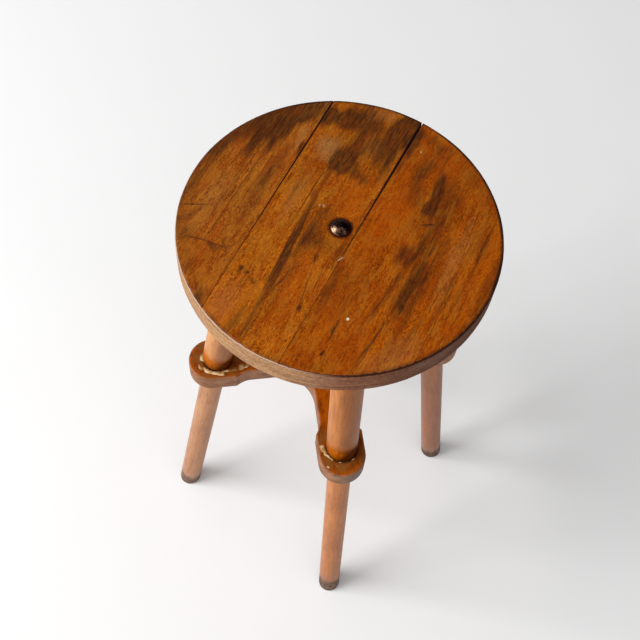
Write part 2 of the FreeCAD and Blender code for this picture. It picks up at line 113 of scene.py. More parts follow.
def make_lamp(name, azimuth, elevation):
    data = bpy.data.lights.new(name, "AREA")
    data.shape = "RECTANGLE"
    data.size = WINDOW_WIDTH
    data.size_y = WINDOW_HEIGHT
    data.energy = WINDOW_POWER
    lamp = bpy.data.objects.new(name, data)
    lift = math.radians(elevation)
    towards = Vector(unit(azimuth)) * math.cos(lift) + Vector(UP) * math.sin(lift)
    lamp.location = towards * WINDOW_DISTANCE
    lamp.rotation_euler = towards.to_track_quat("Z", "Y").to_euler()
    bpy.context.collection.objects.link(lamp)


# Nodes. Points inside a material are in millimetres.
def rgb(red, green, blue):
    """A screen colour as the linear one that a shader takes."""
    def linear(level):
        share = level / 255
        return share / 12.92 if share <= 0.04045 else ((share + 0.055) / 1.055) ** 2.4
    return linear(red), linear(green), linear(blue), 1


# How far from its middle a mark is gone, as a share of its length or width. It is about that
# long and wide where it is half as strong as in its middle.
MARK_REACH = 0.85


class Nodes:
    """A tree of nodes. Each method adds one step and hands on what comes out of it."""

    def __init__(self, owner):
        owner.use_nodes = True
        self.tree = owner.node_tree

    def node(self, kind, **settings):
        node = self.tree.nodes.new("ShaderNode" + kind)
        for name, setting in settings.items():
            setattr(node, name, setting)
        return node

    def feed(self, socket, source):
        if isinstance(source, bpy.types.NodeSocket):
            self.tree.links.new(source, socket)
        else:
            socket.default_value = source

    def step(self, node, *sources):
        for socket, source in zip(node.inputs, sources):
            self.feed(socket, source)
        return node.outputs[0]

    def math(self, operation, *sources):
        return self.step(self.node("Math", operation=operation), *sources)

    def times(self, first, *others):
        for other in others:
            first = self.math("MULTIPLY", first, other)
        return first

    def plus(self, first, *others):
        for other in others:
            first = self.math("ADD", first, other)
        return first

    def blend_of(self, *pairs):
        """The sum of sources, each times its weight."""
        return self.plus(*[self.times(source, weight) for source, weight in pairs])

    def vector(self, operation, *sources, output="Vector"):
        node = self.node("VectorMath", operation=operation)
        self.step(node, *sources)
        return node.outputs[output]

    def length(self, point):
        return self.vector("LENGTH", point, output="Value")

    def spread(self, across, along):
        """How far a spot lies from a point, given its two distances from it."""
        return self.length(self.step(self.node("CombineXYZ"), across, along, 0))

    def level(self, point):
        return self.vector("MULTIPLY", point, (1, 1, 0))

    def facing(self, point, azimuth):
        """How far a point lies in a level direction, from -1 to 1."""
        away = self.vector("NORMALIZE", self.level(point))
        return self.vector("DOT_PRODUCT", away, unit(azimuth), output="Value")

    def place(self, origin=(0, 0, 0), turn=(0, 0, 0)):
        """Points of the object, in millimetres, seen from an origin and turned axes."""
        coordinates = self.node("TexCoord")
        mapping = self.node("Mapping", vector_type="TEXTURE")
        return self.step(mapping, coordinates.outputs["Object"], [part * MM for part in origin],
                         [math.radians(angle) for angle in turn], (MM, MM, MM))

    def part(self, point, axis):
        node = self.node("SeparateXYZ")
        self.feed(node.inputs[0], point)
        return node.outputs[axis]

    def turned_to(self, direction):
        """How far the surface itself faces a direction, from -1 to 1."""
        normal = self.node("NewGeometry").outputs["Normal"]
        return self.vector("DOT_PRODUCT", normal, direction, output="Value")

    def fade(self, source, start, end, first=0, last=1):
        """The first level at the start and the last one at the end, whichever is the greater."""
        node = self.node("MapRange", interpolation_type="SMOOTHSTEP")
        return self.step(node, source, start, end, first, last)

    def noise(self, point, size, detail=2, roughness=0.5, output=0):
        """Noise from 0 to 1 whose features have a size along X, Y and Z."""
        node = self.node("TexNoise")
        self.feed(node.inputs["Vector"], self.vector("DIVIDE", point, size))
        for name, level in (("Scale", 1), ("Detail", detail), ("Roughness", roughness)):
            node.inputs[name].default_value = level
        return node.outputs[output]

    def patches(self, point, size, share, detail=3):
        """One in patches that cover about a share of the surface, and nothing between."""
        middle = 0.64 - 0.28 * share
        return self.fade(self.noise(point, size, detail, 0.6), middle - 0.05, middle + 0.05)

    def shaken(self, point, size, reach):
        """The point moved by noise of a size, up to about half the reach each way."""
        waves = self.noise(point, size, 1, 0.4, output="Color")
        centred = self.vector("SUBTRACT", waves, (0.5, 0.5, 0.5))
        return self.vector("MULTIPLY_ADD", centred, reach, point)

    def mix(self, share, first, second):
        node = self.node("Mix", data_type="RGBA")
        for index, source in ((0, share), (6, first), (7, second)):
            self.feed(node.inputs[index], source)
        return node.outputs[2]

    def ramp(self, share, *colours):
        """Colours spread evenly over 0 to 1."""
        node = self.node("ValToRGB")
        self.feed(node.inputs[0], share)
        stops = node.color_ramp.elements
        while len(stops) < len(colours):
            stops.new(0.5)
        for index, colour in enumerate(colours):
            stops[index].position = index / (len(colours) - 1)
            stops[index].color = colour
        return node.outputs[0]

    def marks(self, point, marks, core=0.15):
        """Soft oval marks on the level plane, added up. Each fades out beyond its core."""
        return self.math("MINIMUM", self.plus(*[self.mark(point, mark, core) for mark in marks]), 1)

    def mark(self, point, mark, core):
        mapping = self.node("Mapping", vector_type="TEXTURE")
        away = self.step(mapping, self.level(point), (mark.x, mark.y, 0),
                         (0, 0, math.radians(mark.turn)),
                         (mark.length * MARK_REACH, mark.width * MARK_REACH, 1))
        return self.times(self.fade(self.length(away), 1, core), mark.strength)


class Shader(Nodes):
    """A material's nodes."""

    def __init__(self, name):
        self.material = bpy.data.materials.new(name)
        super().__init__(self.material)

    def finish(self, colour, roughness, height, metallic=0, gloss=0.3):
        """Joins up the surface. Height is in millimetres."""
        bump = self.node("Bump")
        bump.inputs["Distance"].default_value = MM
        self.feed(bump.inputs["Height"], height)
        surface = self.tree.nodes["Principled BSDF"]
        for name, source in (("Base Color", colour), ("Roughness", roughness),
                             ("Normal", bump.outputs[0]), ("Metallic", metallic),
                             ("Specular IOR Level", gloss)):
            self.feed(surface.inputs[name], source)
        return self.material


# The room. Where it is darkest, and how near to that a direction lies as the dark starts and
# is full.
ROOM_PALE = 1.0
ROOM_DARK = 0.12
DARKEST = Vector((0.45, 0.40, 0.80)).normalized()
DARK_FROM, DARK_TO = 0.15, 0.92
# What a camera sees beyond the floor, as grey as the floor is there.
BEYOND_FLOOR = 0.49


def make_world():
    world = bpy.data.worlds.new("room")
    bpy.context.scene.world = world
    room = Nodes(world)
    direction = room.node("TexCoord").outputs["Generated"]
    nearness = room.vector("DOT_PRODUCT", direction, DARKEST, output="Value")
    light = room.fade(nearness, DARK_FROM, DARK_TO, ROOM_PALE, ROOM_DARK)
    seen = room.node("Mix")
    ray = room.node("LightPath").outputs["Is Camera Ray"]
    for name, source in (("Factor", ray), ("A", light), ("B", BEYOND_FLOOR)):
        room.feed(seen.inputs[name], source)
    room.feed(room.tree.nodes["Background"].inputs["Color"], seen.outputs[0])


# What all the woods are made of: long streaks, fine fibre, broad blotches, mottle between
# them, grit and pores.
Grain = namedtuple("Grain", "bent streaks fibre blotches mottle grit pores")
# The length and width of each, and of the bends in the grain.
BEND, BEND_REACH = (160, 40), 12
STREAK = (44, 3.2)
FIBRE = (16, 0.9)
BLOTCH = (60, 28)
MOTTLE = (10, 5)
GRIT = (2.4, 1.7)
PORE = (5, 0.7)


def along(axis, length, width):
    """A size along X, Y and Z with its length on one axis."""
    return [length if index == axis else width for index in range(3)]


def grain_of(wood, spot, axis):
    bent = wood.shaken(spot, along(axis, *BEND), along(axis, 0, BEND_REACH))
    return Grain(
        bent,
        wood.noise(bent, along(axis, *STREAK), 5, 0.65),
        wood.noise(bent, along(axis, *FIBRE), 3, 0.6),
        wood.noise(spot, along(axis, *BLOTCH), 4, 0.6),
        wood.noise(spot, along(axis, *MOTTLE), 5, 0.7),
        wood.noise(spot, along(axis, *GRIT), 2, 0.9),
        wood.patches(bent, along(axis, *PORE), 0.15, 1))


# Marks on the seat. X runs along the boards and +Y points to the left seam.
Mark = namedtuple("Mark", "x y length width strength turn", defaults=(0,))


def marks_of(*rows):
    return [Mark(*row) for row in rows]


LEFT_STAINS = marks_of(
    (92, 118, 76, 34, 1, -22), (122, 92, 54, 28, 0.9, -50), (56, 126, 56, 10, 0.8, -4),
    (76, 108, 56, 14, 0.6, -10), (0, 158, 190, 22, 0.6), (56, 146, 80, 16, 0.45, -18),
    (-80, 132, 24, 32, 0.45, 20), (-60, 142, 34, 10, 0.45, -30), (-78, 100, 7, 26, 0.65, 8),
    (-131, 85, 22, 12, 0.8, 10), (8, 94, 90, 16, 0.65, 1), (20, 110, 90, 5, 0.35),
    (-10, 122, 90, 5, 0.35, 2), (68, 81, 20, 5, 1, 3), (-108, 116, 30, 20, 0.3, 40),
)
LEFT_SCRATCHES = marks_of(
    (-20, 112, 190, 1.2, 0.5), (10, 102, 110, 1, 0.4, -1), (-79, 120, 26, 1.6, 0.7, -78),
    (-76, 98, 20, 1.8, 0.7, -84), (-45, 142, 26, 1.8, 0.7, -62), (40, 118, 90, 1.2, 0.4, -1),
    (-60, 92, 90, 1, 0.3, 1), (20, 161, 5, 3, 0.8), (-125, 94, 24, 1.6, 0.5, 40),
)
LEFT_PALE = marks_of((-30, 130, 70, 20, 0.3, 2), (80, 87, 34, 8, 0.6))
LEFT_GLOW = marks_of((-92, 98, 70, 26, 0.5, 20))

MIDDLE_STAINS = marks_of(
    (-72, 33, 76, 7, 1, 4), (-20, 37, 60, 6, 0.95, 3), (-60, 24, 100, 16, 0.5, 4),
    (-28, 8, 20, 40, 0.35), (-138, 30, 50, 8, 0.5), (-144, 42, 40, 8, 0.7),
    (44, 41, 70, 6, 0.6, 4), (75, 36, 32, 20, 1.5, -6), (68, 14, 16, 30, 0.55, -14),
    (108, 28, 70, 96, 0.4), (128, 50, 20, 66, 1, 10), (124, 74, 34, 10, 0.8),
    (112, 2, 44, 24, 0.65), (143, -8, 42, 26, 2), (90, -8, 50, 8, 0.4), (-88, 65, 7, 6, 1, 30),
    (-92, 57, 7, 6, 0.9), (-96, 47, 6, 7, 0.7), (-103, -5, 9, 5, 1), (-43, 6, 9, 4, 0.7, 20),
    (14, 27, 14, 14, 0.35), (30, 60, 90, 24, 0.25, 4), (-20, -12, 60, 5, 0.4, 2),
    (144, 40, 24, 40, 0.6, 10), (-8, 20, 56, 24, 0.5), (106, 26, 44, 22, 0.45),
)
MIDDLE_SCRATCHES = marks_of(
    (30, 46, 96, 1.3, 0.8, 1), (-84, 24, 44, 1.4, 0.7, -12), (-20, 25, 60, 1.2, 0.5, -4),
    (-78, -1, 52, 1.4, 0.6, 10), (-60, -7, 60, 1.2, 0.4, 6), (-100, 57, 50, 1.2, 0.35, 2),
    (-45, 6, 8, 2, 0.8, 22), (-150, 26, 30, 1.4, 0.6), (22, 62, 60, 1.2, 0.3, 1),
    (-48, 38, 110, 1.4, 0.8, 4),
)
MIDDLE_PALE = marks_of(
    (84, 56, 30, 22, 1.2, 8), (104, 12, 20, 20, 0.35, -10), (12, 58, 60, 14, 0.3, 2),
    (150, 22, 16, 26, 0.5), (-130, 62, 50, 20, 0.35),
)
MIDDLE_GLOW = marks_of((36, 6, 56, 26, 1, 3), (-90, 8, 110, 22, 0.6, 3), (-134, 60, 50, 26, 0.6))

RIGHT_STAINS = marks_of(
    (-45, -89, 46, 14, 0.9, -3), (-14, -92, 30, 14, 0.7), (-26, -75, 110, 7, 0.6, -5),
    (2, -68, 26, 14, 0.8), (25, -86, 60, 22, 0.6), (63, -68, 18, 12, 0.85),
    (92, -67, 34, 10, 0.9, 8), (94, -44, 56, 16, 0.5, -4), (70, -52, 30, 14, 0.5),
    (78, -82, 56, 34, 0.65), (-64, -36, 76, 46, 0.3), (-130, -47, 9, 5, 1),
    (-105, -46, 26, 4, 0.6, 2), (-120, -81, 50, 5, 0.6, -5), (-70, -100, 70, 8, 0.5),
    (0, -102, 90, 10, 0.45), (116, -104, 84, 26, 0.4, 48), (0, -157, 140, 12, 0.5),
    (-20, -124, 110, 5, 0.5), (20, -136, 120, 4, 0.5), (-80, -112, 60, 5, 0.4, -4),
    (145, -40, 16, 40, 0.45, -10), (60, -112, 60, 6, 0.4, 8), (110, -22, 60, 6, 0.5),
    (-70, -22, 60, 6, 0.4), (140, -21, 44, 9, 1), (122, -56, 54, 44, 0.35), (44, -64, 36, 20, 0.4),
    (54, -132, 60, 24, 0.35, 10),
)
RIGHT_SCRATCHES = marks_of(
    (-96, -84, 76, 1.4, 0.7, -3), (-8, -98, 80, 1.2, 0.6, 1), (46, -76, 14, 2.4, 0.9, -60),
    (20, -88, 60, 1.2, 0.6, 3), (-52, -93, 30, 2.4, 0.8, 2), (-20, -128, 110, 1, 0.5),
    (-60, -116, 80, 1, 0.5, -3), (60, -118, 70, 1, 0.5, 6), (90, -70, 60, 1.2, 0.4, 16),
    (-112, -46, 24, 1.4, 0.7, 2), (-20, -143, 90, 1, 0.5, 1), (-70, -70, 60, 1.2, 0.5, -8),
)
RIGHT_GLOW = marks_of(
    (30, -38, 110, 30, 1), (-90, -34, 90, 20, 0.5), (120, -60, 50, 40, 0.5, 60),
    (0, -144, 130, 14, 0.5), (-122, -66, 54, 24, 0.7),
)
RIGHT_PALE = marks_of((-112, -106, 60, 24, 0.4, -24), (16, -116, 90, 12, 0.4, 2))

# Flakes of paint and glue.
SPECKS = marks_of(
    (-90, -52, 2.3, 2, 1), (16, 27, 3, 1.6, 0.25, 40), (15, 31, 2.4, 1.4, 0.2),
    (-33, -16, 5, 1.2, 0.4, -24), (126, -32, 2, 1.6, 0.3),
)

# The tones run from dark to light, and the drift gives each board its own stretch of grain. A
# seam's offset is its Y where X is nothing, and its gap grows from where it opens to the rim.
BoardLook = namedtuple("BoardLook", "tones drift seams stains scratches pale glow")
Seam = namedtuple("Seam", "offset slope tight_gap open_gap opens_from dirt")
LEFT_SEAM = Seam(77.6, 0.009, 0.04, 0.7, -120, 1.4)
RIGHT_SEAM = Seam(-16.4, -0.006, 0.04, 1.35, -70, 2.1)

BOARD_LOOKS = {
    "seat_board_left": BoardLook(
        (rgb(108, 50, 6), rgb(160, 86, 16), rgb(192, 114, 32)), 310, [LEFT_SEAM],
        LEFT_STAINS, LEFT_SCRATCHES, LEFT_PALE, LEFT_GLOW),
    "seat_board_middle": BoardLook(
        (rgb(112, 48, 0), rgb(168, 85, 4), rgb(208, 118, 20)), 40, [LEFT_SEAM, RIGHT_SEAM],
        MIDDLE_STAINS, MIDDLE_SCRATCHES, MIDDLE_PALE, MIDDLE_GLOW),
    "seat_board_right": BoardLook(
        (rgb(112, 46, 0), rgb(162, 76, 0), rgb(194, 101, 6)), 720, [RIGHT_SEAM],
        RIGHT_STAINS, RIGHT_SCRATCHES, RIGHT_PALE, RIGHT_GLOW),
}
STAIN = rgb(56, 25, 5)
SCRATCH = rgb(46, 18, 5)
PALE_WOOD = rgb(170, 118, 62)
GLOW = rgb(174, 74, 0)
RED_VARNISH = rgb(150, 58, 2)
TAN_WOOD = rgb(178, 108, 26)
PAINT = rgb(232, 214, 188)
HALO = rgb(52, 12, 4)
RED_PATCH, TAN_PATCH = (30, 9, 9), (22, 8, 8)
RED_PLACE, TAN_PLACE = 90, 50
# How the marks' outlines waver, as the size of the waves and their reach.
SMUDGE, SMUDGE_REACH = (26, 9, 9), (20, 7, 0)
JITTER, JITTER_REACH = (14, 5, 5), (0, 3, 0)
# The faint ring that a pot left, and the side where it shows.
POT_RADIUS = 104
POT_LINE = (4, 1)
POT_AZIMUTH = 150


def seat_top(wood, spot, grain, look):
    """The top's varnish with its stains, and how dirty and how scratched each spot is."""
    tone = wood.blend_of((grain.streaks, 0.23), (grain.fibre, 0.17), (grain.blotches, 0.15),
                         (grain.mottle, 0.09), (grain.grit, 0.36))
    colour = wood.ramp(wood.fade(tone, 0.41, 0.59), *look.tones)
    red = wood.patches(wood.vector("ADD", spot, (RED_PLACE, look.drift, 0)), RED_PATCH, 0.4)
    colour = wood.mix(wood.times(red, 0.4), colour, RED_VARNISH)
    tan = wood.patches(wood.vector("ADD", spot, (look.drift, TAN_PLACE, 0)), TAN_PATCH, 0.35)
    colour = wood.mix(wood.times(tan, 0.4), colour, TAN_WOOD)

    smudged = wood.shaken(spot, SMUDGE, SMUDGE_REACH)
    varied = wood.fade(tone, 0.36, 0.54)
    glow = wood.times(wood.marks(smudged, look.glow), varied, 0.6)
    colour = wood.mix(glow, colour, GLOW)
    pale = wood.times(wood.marks(smudged, look.pale), varied, 0.8)
    colour = wood.mix(pale, colour, PALE_WOOD)
    colour = wood.mix(wood.times(grain.pores, 0.35), colour, STAIN)

    # Dirt lies where a stain and the grain together are strong.
    off_ring = wood.math("ABSOLUTE", wood.plus(wood.length(smudged), -POT_RADIUS))
    shown = wood.fade(wood.facing(spot, POT_AZIMUTH), 0.5, 0.9)
    ring = wood.times(wood.fade(off_ring, *POT_LINE), shown, 0.3)
    soiled = wood.plus(wood.marks(smudged, look.stains), ring)
    uneven = wood.blend_of((grain.streaks, 2), (grain.mottle, 1.1), (grain.grit, 0.7))
    dirt = wood.fade(wood.plus(soiled, uneven, -1.9), 0, 1.15)
    combed = wood.plus(0.66, wood.times(wood.fade(grain.fibre, 0.36, 0.6), 0.32))
    colour = wood.mix(wood.times(dirt, combed), colour, STAIN)
    jittered = wood.shaken(spot, JITTER, JITTER_REACH)
    scratches = wood.times(wood.marks(jittered, look.scratches), wood.fade(grain.grit, 0.34, 0.5))
    colour = wood.mix(scratches, colour, SCRATCH)
    return colour, dirt, scratches


# How far in from the rim its dirt starts and is full, and again for the darker line on the side
# away from the windows, which is painted shade as well as dirt.
RIM_DIRT = (6, 2.5)
RIM_GRIME_AND_SHADE = (5, 2.4)
GRIME_SHADE_AZIMUTH = 330
# How wide a closed seam's dirt is, and where the bolt's dark ring starts and is full.
SEAM_DIRT = 0.9
HALO_RING = (14.5, 11)


def seat_dark_lines(wood, spot, look, grain):
    """The dark lines along the seams and the rim, darker away from the windows as painted shade,
    and the dark ring round the bolt.
    """
    radius = wood.length(wood.level(spot))
    from_rim = wood.plus(SEAT_RADIUS, wood.times(radius, -1))
    lines = wood.times(wood.fade(from_rim, *RIM_DIRT), wood.fade(grain.blotches, 0.35, 0.65), 0.5)
    # Away from the windows the rim's line is painted darker as shade, on top of its dirt.
    grime_and_shade = wood.fade(wood.facing(spot, GRIME_SHADE_AZIMUTH), -0.2, 0.5)
    lines = wood.plus(lines, wood.times(wood.fade(from_rim, *RIM_GRIME_AND_SHADE), grime_and_shade, 0.5))
    along_seam, across = wood.part(spot, 0), wood.part(spot, 1)
    for seam in look.seams:
        away = wood.plus(across, wood.times(along_seam, -seam.slope), -seam.offset)
        opened = wood.fade(along_seam, seam.opens_from, SEAT_RADIUS)
        width = wood.plus(wood.times(opened, seam.dirt - SEAM_DIRT), SEAM_DIRT)
        share = wood.math("DIVIDE", wood.math("ABSOLUTE", away), width)
        near = wood.times(wood.fade(share, 1.2, 0.2), wood.fade(grain.grit, 0.1, 0.4))
        lines = wood.plus(lines, wood.times(near, wood.plus(opened, 0.5)))
    return wood.math("MINIMUM", lines, 0.95), wood.fade(radius, *HALO_RING)


# The rim. Towards the windows the arris is worn, and it and the side are painted pale as light;
# away from them they are painted dark as shade, with dirt on the arris.
# Paler side tones, painted light on the side towards the windows; the underside takes them too.
PALE_EDGE = (rgb(124, 84, 54), rgb(160, 118, 78), rgb(186, 146, 106))
BARE_EDGE = (rgb(94, 52, 32), rgb(128, 78, 50), rgb(152, 100, 70))
SHADED_EDGE = rgb(62, 30, 16)
DARK_ARRIS = rgb(38, 10, 2)
WORN_LIT_ARRIS = rgb(180, 150, 128)
# The azimuths of the side painted pale as light, partly worn, and of the side painted dark as
# shade.
LIT_WORN_AZIMUTH = 140
RIM_SHADE_AZIMUTH = 275
RIM_WAVE, RIM_WAVE_REACH = (5, 5, 3), (0, 0, 1)
ARRIS_BLEND = 1.2
# How far below the top the lines on the arris, and the bare edge, start and are full.
DARK_LINE = (0.15, 0.6)
WORN_LIT_LINE = (0.8, 1.1)
BARE_FROM = (1.7, 2.5)
TURNING_MARK = (60, 60, 1.4)


def seat_rim(wood, spot, colour, grain):
    """Covers the varnish from the arris down. Tells where the side is bare and how it is turned."""
    rough = wood.shaken(spot, RIM_WAVE, RIM_WAVE_REACH)
    drop = wood.plus(SEAT_HIGH, wood.times(wood.part(rough, 2), -1))
    flat_radius = SEAT_RADIUS - SEAT_TOP_ROUND
    drop = wood.times(drop, wood.fade(wood.length(wood.level(spot)),
                                      flat_radius - ARRIS_BLEND, flat_radius))
    # Towards the windows: a pale line on the arris, partly wear and partly painted highlight, and
    # paler side tones as painted light. Away from them the dark line on the arris is painted
    # stronger as shade.
    worn = wood.fade(wood.facing(spot, LIT_WORN_AZIMUTH), 0.35, 0.75)
    unlit_side = wood.plus(1, wood.times(worn, -1))
    dark_line = wood.fade(drop, *DARK_LINE)
    colour = wood.mix(wood.times(dark_line, wood.plus(0.45, wood.times(unlit_side, 0.5))),
                      colour, DARK_ARRIS)
    colour = wood.mix(wood.times(wood.fade(drop, *WORN_LIT_LINE), worn), colour, WORN_LIT_ARRIS)
    turned = wood.noise(spot, TURNING_MARK, 4, 0.65)
    tone = wood.fade(wood.blend_of((turned, 0.5), (grain.streaks, 0.3), (grain.grit, 0.2)),
                     0.4, 0.6)
    edge = wood.mix(worn, wood.ramp(tone, *BARE_EDGE), wood.ramp(tone, *PALE_EDGE))
    # The side away from the windows is painted brown as shade.
    shade_side = wood.fade(wood.facing(spot, RIM_SHADE_AZIMUTH), 0.2, 0.95)
    edge = wood.mix(wood.times(shade_side, 0.65), edge, SHADED_EDGE)
    below = wood.fade(drop, *BARE_FROM)
    return wood.mix(below, colour, edge), below, turned


def seat_wood(name, look):
    wood = Shader(name + "_wood")
    spot = wood.place(turn=(0, 0, SEAM_AZIMUTH))
    grain = grain_of(wood, wood.vector("ADD", spot, (look.drift, look.drift, 0)), 0)
    colour, dirt, scratches = seat_top(wood, spot, grain, look)
    lines, halo = seat_dark_lines(wood, spot, look, grain)
    colour = wood.mix(lines, colour, DARK_ARRIS)
    colour = wood.mix(wood.times(halo, 0.9), colour, HALO)
    colour = wood.mix(wood.marks(spot, SPECKS, 0.6), colour, PAINT)
    under = wood.fade(wood.turned_to(UP), -0.5, -0.9)
    colour = wood.mix(under, colour, wood.ramp(grain.streaks, *PALE_EDGE))
    colour, below, turned = seat_rim(wood, spot, colour, grain)
    roughness = wood.blend_of((grain.blotches, 0.2), (dirt, 0.15), (below, 0.2), (lines, 0.4))
    relief = wood.blend_of((grain.fibre, 0.12), (grain.streaks, 0.25), (grain.pores, -0.06),
                           (scratches, -0.3), (wood.times(turned, below), 0.3))
    return wood.finish(colour, wood.plus(roughness, 0.24), relief, gloss=0.14)


# The side away from the windows, which crosses and legs paint darker as shade.
SHADE_AZIMUTH = 335

# Crosses: glossy amber above, bare brown wood on the sides, painted grey as shade away from the
# windows.
TOP_AMBER = (rgb(104, 42, 0), rgb(146, 64, 0), rgb(176, 86, 8))
BARE_SIDE = (rgb(114, 70, 40), rgb(138, 92, 60), rgb(158, 112, 80))
SHADED_GREY_SIDE = rgb(84, 74, 68)
RESIDUE = rgb(126, 80, 32)
SOOTED = rgb(70, 26, 2)
LEG_SHADOW = rgb(40, 16, 4)
EDGE_HIGHLIGHT = rgb(190, 92, 4)
CROSS_MOTTLE = (16, 10, 10)
# How far in from a lobe's edge its painted highlight starts and is full.
HIGHLIGHT_FROM, HIGHLIGHT_FULL = 7, 3
# How far from a leg's axis the lobe's dirt and the dark ring round the leg start and are full.
LOBE_DIRT = (36, 24)
SHADOW_RING = (20.5, 16.5)


def cross_wood(name, azimuth, top, grey):
    """Wood whose grain runs along a rail, with the legs' holes at the height of its top."""
    wood = Shader(name + "_wood")
    spot = wood.place(turn=(0, 0, azimuth))
    grain = grain_of(wood, wood.vector("ADD", spot, (azimuth, top, 0)), 0)
    mottle = wood.noise(spot, CROSS_MOTTLE, 4, 0.6)
    tone = wood.blend_of((grain.streaks, 0.2), (grain.blotches, 0.2), (mottle, 0.4),
                         (grain.grit, 0.2))
    tone = wood.fade(tone, 0.38, 0.62)

    # From the hole of the leg on either arm, and from the middle of the lobe round it.
    reach = wood.math("ABSOLUTE", wood.part(spot, 0))
    across = wood.part(spot, 1)
    from_leg = wood.spread(wood.plus(reach, -leg_reach(top)), across)
    from_lobe = wood.spread(wood.plus(reach, -LOBE_CENTRE), across)
    amber = wood.ramp(tone, *TOP_AMBER)
    # A painted highlight along the lobe's rounded edge.
    near_edge = wood.fade(from_lobe, LOBE_RADIUS - HIGHLIGHT_FROM, LOBE_RADIUS - HIGHLIGHT_FULL)
    glow = wood.times(near_edge, wood.fade(mottle, 0.3, 0.55))
    amber = wood.mix(wood.times(glow, 0.35), amber, EDGE_HIGHLIGHT)
    on_lobe = wood.fade(from_leg, *LOBE_DIRT)
    soiled = wood.times(on_lobe, wood.fade(mottle, 0.7, 0.36))
    amber = wood.mix(wood.times(soiled, 0.85), amber, RESIDUE)
    sooted = wood.times(on_lobe, wood.fade(mottle, 0.44, 0.68))
    amber = wood.mix(wood.times(sooted, 0.7), amber, SOOTED)
    shaded = wood.fade(from_leg, *SHADOW_RING)
    amber = wood.mix(wood.times(shaded, 0.85), amber, LEG_SHADOW)

    bare = wood.ramp(tone, *BARE_SIDE)
    # The sides away from the windows are painted grey as shade.
    shaded_grey = wood.times(wood.fade(wood.turned_to(unit(SHADE_AZIMUTH)), -0.2, 0.8), grey)
    bare = wood.mix(shaded_grey, bare, SHADED_GREY_SIDE)
    varnished = wood.fade(wood.turned_to(UP), 0.6, 0.85)
    colour = wood.mix(varnished, bare, amber)
    roughness = wood.blend_of((grain.blotches, 0.16), (varnished, -0.3), (soiled, 0.15))
    relief = wood.blend_of((grain.fibre, 0.06), (grain.streaks, 0.1))
    return wood.finish(colour, wood.plus(roughness, 0.48), relief, gloss=0.25)


# Legs: beech under thin varnish, deeper above the cross and dirty at the foot, and painted darker
# as shade on the side away from the windows.
LegLook = namedtuple("LegLook", "lower upper dirt_height dirt")
# Each leg's tones partly stand for light: the left leg, nearest the windows, is painted lighter,
# and the right and back legs darker as shade, as is the right foot's dirt.
LEG_LOOKS = {
    "leg_front": LegLook(
        (rgb(146, 80, 34), rgb(176, 106, 52), rgb(198, 128, 72)),
        (rgb(150, 82, 24), rgb(186, 113, 44), rgb(210, 138, 64)), 28, rgb(72, 54, 44)),
    "leg_left": LegLook(
        (rgb(150, 96, 58), rgb(176, 120, 78), rgb(198, 144, 100)),
        (rgb(170, 104, 54), rgb(198, 134, 78), rgb(218, 158, 102)), 24, rgb(86, 66, 56)),
    "leg_right": LegLook(
        (rgb(122, 70, 38), rgb(148, 91, 57), rgb(168, 112, 77)),
        (rgb(128, 70, 32), rgb(156, 94, 48), rgb(178, 116, 70)), 22, rgb(52, 36, 24)),
    "leg_back": LegLook(
        (rgb(130, 78, 46), rgb(158, 100, 66), rgb(178, 122, 86)),
        (rgb(132, 72, 32), rgb(160, 96, 48), rgb(182, 118, 70)), 22, rgb(70, 54, 42)),
}
SHADED_BEECH = rgb(96, 44, 12)
# The amber band is deeper varnish and also a painted reflection of the cross's orange top; its dark
# colour is painted shade.
AMBER_BAND = (rgb(140, 60, 0), rgb(180, 92, 0))
SHADED_BAND = rgb(60, 20, 0)
LEG_SMUDGE = rgb(96, 58, 36)
DUST = rgb(140, 114, 98)
SMUDGE_PATCH = (5, 5, 26)
# How far up a leg from the cross's top its tones and bands start and are full.
UPPER_TONE = (-40, 0)
BAND_TOP, BAND_BOTTOM = (38, 24), (-34, -20)
BAND_SHADE_TOP = (18, 2)
BAND_WAVE, BAND_WAVE_REACH = (9, 9, 9), 10
# How far up from a look's dirt height the dust, and the wavy dirt, start and are full.
DUST_EDGE, DIRT_EDGE = (34, -4), (30, 14)
DIRT_WAVE, DIRT_WAVE_REACH = (8, 8, 8), 44
FLECK = (4, 4, 3)
# How far a degree of azimuth shifts a leg's grain, so that no two are alike.
GRAIN_SHIFT = 7


